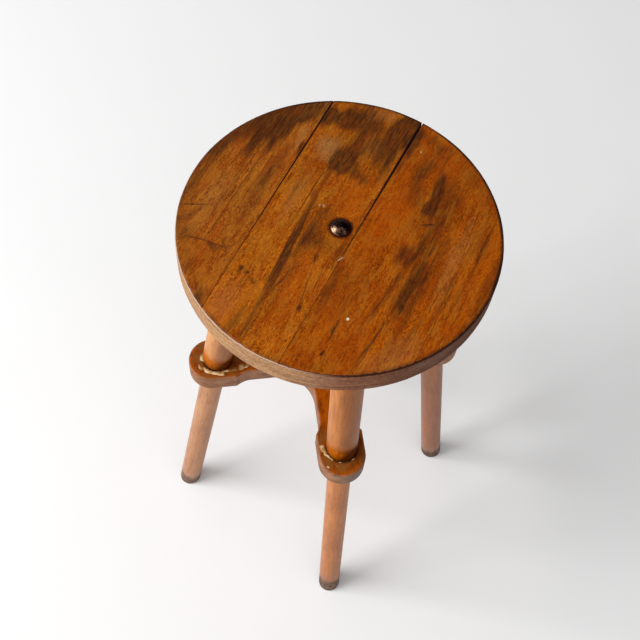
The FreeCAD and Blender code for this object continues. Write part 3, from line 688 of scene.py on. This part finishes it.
def leg_wood(name, azimuth, look):
    """Wood whose grain runs up a leg. Z is the leg's own axis, from the floor."""
    wood = Shader(name + "_wood")
    foot = [FOOT_CIRCLE_RADIUS * part for part in unit(azimuth)]
    spot = wood.place(foot, (0, -LEG_SPLAY, azimuth))
    grain = grain_of(wood, wood.vector("ADD", spot, (0, 0, GRAIN_SHIFT * azimuth)), 2)
    tone = wood.blend_of((grain.streaks, 0.4), (grain.blotches, 0.4), (grain.grit, 0.2))
    tone = wood.fade(tone, 0.24, 0.76)
    height = wood.part(spot, 2)
    shoulder = LOWER_CROSS_TOP / math.cos(math.radians(LEG_SPLAY))
    over = wood.plus(height, -shoulder)
    above = wood.fade(over, *UPPER_TONE)
    colour = wood.mix(above, wood.ramp(tone, *look.lower), wood.ramp(tone, *look.upper))
    # The side away from the windows is painted darker as shade, more so above the cross.
    away = wood.facing(spot, SHADE_AZIMUTH - azimuth)
    colour = wood.mix(wood.times(wood.fade(away, 0.1, 1), 0.15), colour, SHADED_BEECH)
    shade_side = wood.times(wood.fade(away, -0.6, 0.35), above, 0.5)
    colour = wood.mix(shade_side, colour, SHADED_BEECH)
    smudges = wood.patches(grain.bent, SMUDGE_PATCH, 0.16, 4)
    colour = wood.mix(wood.times(wood.plus(smudges, grain.pores), 0.2), colour, LEG_SMUDGE)

    # The amber band over the shoulder: deeper varnish and a painted reflection of the cross's
    # orange top.
    ragged = wood.plus(over, wood.times(wood.noise(spot, BAND_WAVE, 3), BAND_WAVE_REACH))
    band = wood.times(wood.fade(ragged, *BAND_TOP), wood.fade(over, *BAND_BOTTOM))
    amber = wood.ramp(wood.fade(grain.mottle, 0.34, 0.6), *AMBER_BAND)
    colour = wood.mix(wood.times(band, 0.9), colour, amber)
    # The band is painted dark as shade away from the windows and down towards the shoulder.
    band_shade = wood.plus(wood.times(wood.fade(away, -0.2, 0.8), 0.9),
                      wood.times(wood.fade(over, *BAND_SHADE_TOP), 0.55))
    band_shade = wood.math("MINIMUM", wood.times(band_shade, band), 0.9)
    colour = wood.mix(band_shade, colour, SHADED_BAND)

    # The foot is dusty, and dark with trodden-in dirt at its very end.
    over_dirt = wood.plus(height, -look.dirt_height)
    colour = wood.mix(wood.times(wood.fade(over_dirt, *DUST_EDGE), 0.3), colour, DUST)
    waves = wood.times(wood.noise(spot, DIRT_WAVE, 4, 0.7), DIRT_WAVE_REACH)
    dirt = wood.fade(wood.plus(over_dirt, waves), *DIRT_EDGE)
    flecks = wood.times(wood.fade(wood.noise(spot, FLECK, 3, 0.7), 0.44, 0.6), 0.6)
    colour = wood.mix(wood.times(dirt, 0.92), colour, wood.mix(flecks, look.dirt, DUST))
    roughness = wood.blend_of((grain.blotches, 0.16), (dirt, 0.3))
    relief = wood.blend_of((grain.fibre, 0.06), (grain.streaks, 0.08))
    gloss = wood.plus(0.22, wood.times(band, -0.2))
    return wood.finish(colour, wood.plus(roughness, 0.3), relief, gloss=gloss)


BOLT_TONES = (rgb(34, 20, 22), rgb(92, 60, 52), rgb(190, 146, 116))
BOLT_BLOTCH, BOLT_SCUFF = (7, 7, 7), (1.6, 1.6, 1.6)
# The side of the head painted bright, where the windows' highlight falls.
HIGHLIGHT_AZIMUTH = 215
# Distances from the bolt's axis at which the painted highlight side and the dark edge start and are
# full.
HIGHLIGHT_RING = (1, 8)
DARK_EDGE = (9, 10.2)


def bolt_steel():
    """Steel gone brown and nearly black, painted bright on the side of the head where the windows'
    highlight falls.
    """
    shader = Shader("bolt_steel")
    spot = shader.place()
    radius = shader.length(shader.level(spot))
    blotches = shader.noise(spot, BOLT_BLOTCH, 3, 0.6)
    scuffs = shader.noise(spot, BOLT_SCUFF, 2)
    # The base colour is painted brighter towards the windows' highlight.
    highlight_side = shader.times(shader.facing(spot, HIGHLIGHT_AZIMUTH), shader.fade(radius, *HIGHLIGHT_RING))
    tone = shader.blend_of((blotches, 0.7), (scuffs, 0.3), (highlight_side, 0.1))
    colour = shader.ramp(shader.fade(tone, 0.47, 0.66), *BOLT_TONES)
    edge = shader.fade(radius, *DARK_EDGE)
    colour = shader.mix(shader.times(edge, 0.85), colour, HALO)
    roughness = shader.blend_of((blotches, 0.2), (edge, 0.4), (scuffs, 0.1))
    relief = shader.blend_of((blotches, 0.3), (scuffs, 0.06))
    return shader.finish(colour, shader.plus(roughness, 0.1), relief, metallic=1, gloss=0.5)


# Finishes made of one noise.
def plain_finish(name, waves, tones, span, roughness, relief, **surface):
    """The tones run over a span of the noise, or over all of it. The roughness is the least
    one and what the noise adds to it."""
    shader = Shader(name)
    blotches = shader.noise(shader.place(), *waves)
    share = shader.fade(blotches, *span) if span else blotches
    least, added = roughness
    return shader.finish(shader.ramp(share, *tones),
                         shader.plus(least, shader.times(blotches, added)),
                         shader.times(blotches, relief), **surface)


HIDDEN_FIBRE = (1.2, 12, 12)
SMALL_BLOTCH = (9, 9, 9)
FLOOR_DRIFT = (180, 180, 180)


def hidden_wood():
    tones = (rgb(176, 138, 92), rgb(208, 172, 124))
    return plain_finish("hidden_wood", (HIDDEN_FIBRE, 3), tones, None, (0.55, 0.2), 0.2)


def washer_steel():
    tones = (rgb(128, 122, 114), rgb(186, 186, 184))
    return plain_finish("washer_steel", (SMALL_BLOTCH, 4, 0.6), tones, (0.35, 0.65),
                        (0.35, 0.25), 0.1, metallic=1, gloss=0.5)


def dried_glue():
    tones = (rgb(146, 100, 50), rgb(184, 142, 92), rgb(212, 182, 138))
    return plain_finish("dried_glue", (SMALL_BLOTCH, 3), tones, (0.34, 0.62), (0.4, 0.2), 0.1,
                        gloss=0.2)


def floor_paint():
    tones = (rgb(246, 246, 246), rgb(249, 249, 249))
    return plain_finish("floor_paint", (FLOOR_DRIFT, 3), tones, None, (0.8, 0.1), 0.2, gloss=0.1)


# Meshes.
def make_object(name, mesh, material):
    """Sets a bmesh written in millimetres into the scene in metres."""
    bmesh.ops.scale(mesh, vec=(MM, MM, MM), verts=mesh.verts)
    bmesh.ops.recalc_face_normals(mesh, faces=mesh.faces)
    for face in mesh.faces:
        face.smooth = True
    data = bpy.data.meshes.new(name)
    mesh.to_mesh(data)
    mesh.free()
    data.materials.append(material)
    piece = bpy.data.objects.new(name, data)
    bpy.context.collection.objects.link(piece)
    return piece


def join_rings(mesh, rings):
    """Faces between closed rings of the same number of points."""
    for low, high in zip(rings, rings[1:]):
        for index in range(len(low)):
            after = (index + 1) % len(low)
            mesh.faces.new((low[index], low[after], high[after], high[index]))


def smoothstep(value, start, end):
    share = min(max((value - start) / (end - start), 0), 1)
    return share * share * (3 - 2 * share)


# Seat boards. Each seam runs a little out of true and opens towards one end.
SEAM_ROUND = 0.2
SEAM_STEP = 6
RIM_STEP = 1.5
# How far a seam is broken open where it meets the rim, and how fast that fades.
SEAM_MOUTH = 0.35
SEAM_MOUTH_FADE = 2
# How far a seam's edges and the rim waver, and the waves' size.
SEAM_WAVE, SEAM_WAVE_LENGTH = 0.12, 7
RIM_WEAR, RIM_WAVES_AROUND = 0.25, 5
SEAM_END_TRIES = 12

Corner = namedtuple("Corner", "x y inset top_round bottom_round")


def seam_edge(seam, x, side):
    """The Y of a board's edge on a seam, above the seam where side is 1 and below at -1."""
    opening = smoothstep(x, seam.opens_from, SEAT_RADIUS)
    gap = seam.tight_gap + (seam.open_gap - seam.tight_gap) * opening
    to_rim = max(math.sqrt(SEAT_RADIUS ** 2 - seam.offset ** 2) - abs(x), 0)
    mouth = SEAM_MOUTH * math.exp(-to_rim / SEAM_MOUTH_FADE) * opening
    wave = noise.noise(Vector((x / SEAM_WAVE_LENGTH, seam.offset, side)))
    ragged = SEAM_WAVE * opening * wave
    return seam.offset + seam.slope * x + side * (gap / 2 + mouth + ragged)


def rim_radius(azimuth):
    """The rim as it is worn, never outside the turned round."""
    wave = noise.noise(Vector(unit(azimuth)) * RIM_WAVES_AROUND)
    return SEAT_RADIUS - RIM_WEAR + RIM_WEAR * wave


def seam_end(seam, side, towards):
    """The azimuth at which a board's seam edge meets the rim, at +X or -X."""
    azimuth = 0 if towards > 0 else 180
    for _ in range(SEAM_END_TRIES):
        radius = rim_radius(azimuth)
        x = radius * unit(azimuth)[0]
        y = seam_edge(seam, x, side)
        azimuth = math.degrees(math.atan2(y, towards * math.sqrt(radius ** 2 - y ** 2)))
    return azimuth


def seam_points(seam, side, towards):
    """A board's edge along a seam, without its two ends."""
    reach = math.sqrt(SEAT_RADIUS ** 2 - seam.offset ** 2) - SEAM_STEP
    count = round(2 * reach / SEAM_STEP)
    stations = [-reach + 2 * reach * index / count for index in range(count + 1)]
    return [(x, seam_edge(seam, x, side), "seam") for x in stations[::towards]]


def rim_points(start, end):
    """The rim from one azimuth to a greater one, with both ends."""
    count = round((end - start) / RIM_STEP)
    points = []
    for index in range(count + 1):
        azimuth = start + (end - start) * index / count
        radius = rim_radius(azimuth)
        x, y, _ = unit(azimuth)
        points.append((radius * x, radius * y, "rim"))
    return points


def board_outline(below, above):
    """A board's plan, counter-clockwise, between the seam below it and the one above it."""
    points = []
    if below:
        points += seam_points(below, 1, 1)
    start = seam_end(below, 1, 1) if below else seam_end(above, -1, -1)
    if below and above:
        points += rim_points(start, seam_end(above, -1, 1))
        points += seam_points(above, -1, -1)
        points += rim_points(seam_end(above, -1, -1) % 360, seam_end(below, 1, -1) % 360)
    elif below:
        points += rim_points(start, seam_end(below, 1, -1) % 360)
    else:
        points += rim_points(start % 360, seam_end(above, -1, 1) % 360)
        points += seam_points(above, -1, -1)
    return points


def outward(first, second):
    """The outward normal of an edge of a counter-clockwise plan."""
    edge = Vector((second[0] - first[0], second[1] - first[1]))
    return Vector((edge.y, -edge.x)).normalized()


def board_corners(points):
    """Each point of a plan with the level step from it to the flat of the board."""
    corners = []
    for index, point in enumerate(points):
        before, after = points[index - 1], points[(index + 1) % len(points)]
        first, second = outward(before, point), outward(point, after)
        top_round = SEAT_TOP_ROUND if point[2] == "rim" else SEAM_ROUND
        bottom_round = SEAT_BOTTOM_ROUND if point[2] == "rim" else SEAM_ROUND
        inset = (first + second) / (1 + first.dot(second)) * top_round
        if point[2] == "rim" and "seam" in (before[2], after[2]):
            rim, seam = (second, first) if before[2] == "seam" else (first, second)
            spread = rim.x * seam.y - rim.y * seam.x
            inset = Vector((SEAT_TOP_ROUND * seam.y - SEAM_ROUND * rim.y,
                            SEAM_ROUND * rim.x - SEAT_TOP_ROUND * seam.x)) / spread
        corners.append(Corner(*point[:2], inset, top_round, bottom_round))
    return corners


ARC_STEPS = 6
SIDE_STEPS = 4


def side_profile(corner):
    """The steps from the flat below, round both arrises, to the flat above: how far in each
    lies, as a share of the corner's inset, and how high."""
    arc = [math.radians(90 * step / ARC_STEPS) for step in range(ARC_STEPS + 1)]
    low, high = SEAT_LOW + corner.bottom_round, SEAT_HIGH - corner.top_round
    below = [(corner.bottom_round / corner.top_round * (1 - math.sin(turn)),
              low - corner.bottom_round * math.cos(turn)) for turn in arc]
    between = [(0, low + (high - low) * step / SIDE_STEPS) for step in range(1, SIDE_STEPS)]
    above = [(1 - math.cos(turn), high + corner.top_round * math.sin(turn)) for turn in arc]
    return below + between + above


def board_rings(mesh, corners):
    """Rings of points from the flat below, round the arrises and up to the flat above."""
    return [[mesh.verts.new((corner.x - corner.inset.x * share,
                             corner.y - corner.inset.y * share, height))
             for corner, (share, height) in zip(corners, level)]
            for level in zip(*[side_profile(corner) for corner in corners])]


GRID_STEP = 8
GRID_TOLERANCE = 0.001
CUPPING = 0.35
# How far in from the rim's round the cupping is whole.
CUPPING_FADE = 30
SHARP_CORNER = math.radians(40)


def cut_into_grid(mesh, face):
    """Parts a flat face along level lines, so that it can be bent."""
    faces = [face]
    reach = math.floor(SEAT_RADIUS / GRID_STEP)
    for axis in (Vector((1, 0, 0)), Vector((0, 1, 0))):
        for index in range(-reach, reach + 1):
            edges = {edge for part in faces for edge in part.edges}
            verts = {vert for part in faces for vert in part.verts}
            cut = bmesh.ops.bisect_plane(mesh, geom=[*faces, *edges, *verts], dist=GRID_TOLERANCE,
                                         plane_co=axis * index * GRID_STEP, plane_no=axis)
            faces = [part for part in cut["geom"] if isinstance(part, bmesh.types.BMFace)]
    return faces


def make_board(node, below, above):
    """One board of the seat: open seams, worn arrises and a slightly cupped top."""
    corners = board_corners(board_outline(below, above))
    mesh = bmesh.new()
    rings = board_rings(mesh, corners)
    join_rings(mesh, rings)
    mesh.faces.new(rings[0][::-1])
    flat = cut_into_grid(mesh, mesh.faces.new(rings[-1]))
    low_y = min(corner.y for corner in corners)
    high_y = max(corner.y for corner in corners)
    middle, half = (low_y + high_y) / 2, (high_y - low_y) / 2
    for vert in {vert for face in flat for vert in face.verts}:
        inside = 1 - min(((vert.co.y - middle) / half) ** 2, 1)
        to_rim = SEAT_RADIUS - SEAT_TOP_ROUND - vert.co.xy.length
        vert.co.z -= CUPPING * inside * smoothstep(to_rim, 0, CUPPING_FADE)
    mesh.transform(turned_about_z(SEAM_AZIMUTH))
    for edge in mesh.edges:
        edge.smooth = edge.calc_face_angle(0) < SHARP_CORNER
    piece = make_object(node + "_worn", mesh, seat_wood(node, BOARD_LOOKS[node]))
    weighted = piece.modifiers.new("flat_shading", "WEIGHTED_NORMAL")
    weighted.weight = 100
    weighted.keep_sharp = True
    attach(piece, "seat")
    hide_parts(node)


def turned_about_z(azimuth):
    return Matrix.Rotation(math.radians(azimuth), 4, "Z")


# Centre bolt: a dinged dome above, a real thread below.
THREAD_PITCH = 1.5875
THREAD_DEPTH = 0.8
THREAD_STEPS = 8
BOLT_RADIUS = 4.75
BOLT_TIP_CHAMFER = 1.2
BOLT_HEAD_RIM = 0.8
BOLT_SIDES = 48
DOME_STEPS = 12
DING_DEPTH = 0.4
DING_SIZE = 4
# The radius of a ring at a point, and how near to each other points are joined.
POINT_RADIUS = 0.01
JOIN_DISTANCE = 0.02


def bolt_rows(tip, thread_end, seat, top, head_radius):
    """Heights and radii from the tip to the crown."""
    tip_radius = BOLT_RADIUS - BOLT_TIP_CHAMFER
    rows = [(tip, POINT_RADIUS), (tip, tip_radius)]
    count = round((thread_end - tip) / THREAD_PITCH * THREAD_STEPS)
    for index in range(1, count + 1):
        height = tip + (thread_end - tip) * index / count
        rows.append((height, min(BOLT_RADIUS, tip_radius + height - tip)))
    rows += [(seat, BOLT_RADIUS), (seat, head_radius), (seat + BOLT_HEAD_RIM, head_radius)]
    dome = top - seat - BOLT_HEAD_RIM
    curve = (head_radius ** 2 + dome ** 2) / (2 * dome)
    for index in range(1, DOME_STEPS + 1):
        radius = head_radius * math.cos(math.radians(90 * index / DOME_STEPS))
        height = top - curve + math.sqrt(curve ** 2 - radius ** 2)
        rows.append((height, max(radius, POINT_RADIUS)))
    return rows


def make_bolt():
    low, high = box_of("centre_bolt")
    head_radius = (high.x - low.x) / 2
    thread_end = box_of("lower_nut")[1].z
    mesh = bmesh.new()
    rings = []
    for height, radius in bolt_rows(low.z, thread_end, SEAT_HIGH, high.z, head_radius):
        ring = []
        for side in range(BOLT_SIDES):
            turn = 2 * math.pi * side / BOLT_SIDES
            reach = radius
            if low.z < height < thread_end:
                wave = (height / THREAD_PITCH - side / BOLT_SIDES) % 1
                reach -= THREAD_DEPTH * abs(2 * wave - 1)
            place = Vector((reach * math.cos(turn), reach * math.sin(turn), height))
            if height > SEAT_HIGH + BOLT_HEAD_RIM:
                place.z -= DING_DEPTH * abs(noise.noise(place / DING_SIZE))
            ring.append(mesh.verts.new(place))
        rings.append(ring)
    join_rings(mesh, rings)
    bmesh.ops.remove_doubles(mesh, verts=mesh.verts, dist=JOIN_DISTANCE)
    piece = make_object("centre_bolt_dinged", mesh, bolt_steel())
    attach(piece, "seat")
    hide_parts("centre_bolt")


# Glue squeezed out round the legs on the lower cross. Each patch has its direction from the
# leg's axis, how far it spreads to either side, how far out it lies, its width and its height.
GLUE = {
    "leg_left": [
        (170, 16, 18.4, 5, 1.2), (206, 10, 23.5, 4, 1), (226, 16, 20.6, 4, 1.1),
        (252, 20, 19.8, 4, 1.2), (280, 17, 20.8, 5.4, 1.3), (300, 13, 23.4, 6, 1.3),
        (318, 11, 26.4, 5.4, 1.1), (331, 9, 31.4, 5, 1), (339, 7, 37, 4.6, 0.9),
    ],
    "leg_front": [
        (142, 8, 30, 4.4, 0.9), (155, 9, 26, 5, 1), (172, 12, 22, 5.4, 1.1), (192, 12, 19.6, 4, 1),
        (215, 14, 18.2, 2.6, 0.9), (258, 10, 17.5, 1.4, 0.55), (308, 12, 18.4, 2.2, 0.75),
        (229, 4, 27.8, 2.4, 1),
    ],
    "leg_right": [
        (250, 40, 18.5, 4, 0.9), (320, 24, 19, 3, 0.7), (120, 40, 19, 4, 0.9),
    ],
    "leg_back": [
        (60, 40, 18.5, 4, 0.9), (200, 30, 19, 4, 0.8), (300, 24, 19, 3, 0.6),
    ],
}
GLUE_AROUND = 180
GLUE_OUT = 40
GLUE_INNER, GLUE_OUTER = 16.2, 42
GLUE_THICKNESS = 0.4
# How high the glue stands between the patches, which is below the wood, and at most.
GLUE_BARE, GLUE_TALLEST = -0.44, 0.9
# How far the glue stays inside the outline of the cross.
GLUE_MARGIN = 2
# Its lumps' size, in degrees round a leg and outwards, and how fine and high each wave is.
GLUE_LUMP = Vector((11, 3))
GLUE_WAVES = ((1, 0.4), (2.3, 0.2))


def wood_margin(out, across):
    """How far inside the outline of an arm of the lower cross a spot on its top lies."""
    if out > LOBE_CENTRE:
        return LOBE_RADIUS - math.hypot(out - LOBE_CENTRE, across)
    half = LOBE_RADIUS if out > LOBE_CENTRE - LOBE_RADIUS / 2 else WAIST_HALF_WIDTH
    return half - abs(across)


def glue_height(patches, azimuth, distance, seed):
    """The height of the glue over the wood at a spot near a leg, nothing or less where bare."""
    total = GLUE_BARE
    for direction, spread, middle, width, height in patches:
        off = (azimuth - direction + 180) % 360 - 180
        away = (off / spread) ** 2 + ((distance - middle) / width * 2) ** 2
        total += height * math.exp(-away)
    spot = Vector((azimuth / GLUE_LUMP.x, distance / GLUE_LUMP.y, seed))
    total += sum(reach * noise.noise(spot * finer) for finer, reach in GLUE_WAVES)
    return min(total, GLUE_TALLEST)


def make_glue(leg, patches, material):
    azimuth = LEG_AZIMUTHS[leg]
    middle = turned_about_z(azimuth) @ Vector((leg_reach(LOWER_CROSS_TOP), 0, LOWER_CROSS_TOP))
    mesh = bmesh.new()
    grid = []
    for step in range(GLUE_OUT + 1):
        distance = GLUE_INNER + (GLUE_OUTER - GLUE_INNER) * step / GLUE_OUT
        row = []
        for side in range(GLUE_AROUND):
            around = 360 * side / GLUE_AROUND
            turn = math.radians(around - azimuth)
            out = leg_reach(LOWER_CROSS_TOP) + distance * math.cos(turn)
            margin = wood_margin(out, distance * math.sin(turn))
            height = glue_height(patches, around, distance, azimuth / 10)
            height = min(height, margin - GLUE_MARGIN)
            place = middle + turned_about_z(around) @ Vector((distance, 0, height))
            row.append((mesh.verts.new(place), height))
        grid.append(row)
    for inner, outer in zip(grid, grid[1:]):
        for side in range(GLUE_AROUND):
            after = (side + 1) % GLUE_AROUND
            corners = (inner[side], outer[side], outer[after], inner[after])
            if max(height for _, height in corners) > 0:
                mesh.faces.new([vert for vert, _ in corners])
    for vert in [vert for vert in mesh.verts if not vert.link_faces]:
        mesh.verts.remove(vert)
    for vert in mesh.verts:
        vert.co.z = max(vert.co.z, LOWER_CROSS_TOP - GLUE_THICKNESS / 2)
    piece = make_object("glue_" + leg, mesh, material)
    body = piece.modifiers.new("body", "SOLIDIFY")
    body.thickness = GLUE_THICKNESS * MM
    body.offset = -1
    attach(piece, "base")


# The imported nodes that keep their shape.
def dress(node, material):
    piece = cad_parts[node]
    piece.data.materials.clear()
    piece.data.materials.append(material)


def dress_nodes():
    for leg, azimuth in LEG_AZIMUTHS.items():
        dress(leg, leg_wood(leg, azimuth, LEG_LOOKS[leg]))
    for part, top in (("lower", LOWER_CROSS_TOP), ("upper", UPPER_CROSS_TOP)):
        # The last number is how strongly a rail's side away from the windows is painted grey as
        # shade.
        for rail, azimuth, grey in (("front_back", 90, 0.6), ("left_right", 0, 0.1)):
            node = f"{part}_cross_rail_{rail}"
            dress(node, cross_wood(node, azimuth, top, grey))
    bare = hidden_wood()
    for node in ("leg_wedges", "seam_dowels_left", "seam_dowels_right"):
        dress(node, bare)
    zinc = washer_steel()
    for node in ("bearing_washer", "lower_washer", "lower_nut", "jam_nut"):
        dress(node, zinc)


FLOOR_HALF = 60000
FLOOR_CELLS = 8


def make_floor():
    mesh = bmesh.new()
    bmesh.ops.create_grid(mesh, x_segments=FLOOR_CELLS, y_segments=FLOOR_CELLS, size=FLOOR_HALF)
    floor = make_object("floor", mesh, floor_paint())


make_camera()
for window, (azimuth, elevation) in WINDOWS.items():
    make_lamp(window, azimuth, elevation)
make_world()
make_floor()
dress_nodes()
make_board("seat_board_left", LEFT_SEAM, None)
make_board("seat_board_middle", RIGHT_SEAM, LEFT_SEAM)
make_board("seat_board_right", None, RIGHT_SEAM)
make_bolt()
GLUE_LOOK = dried_glue()
for leg, patches in GLUE.items():
    make_glue(leg, patches, GLUE_LOOK)
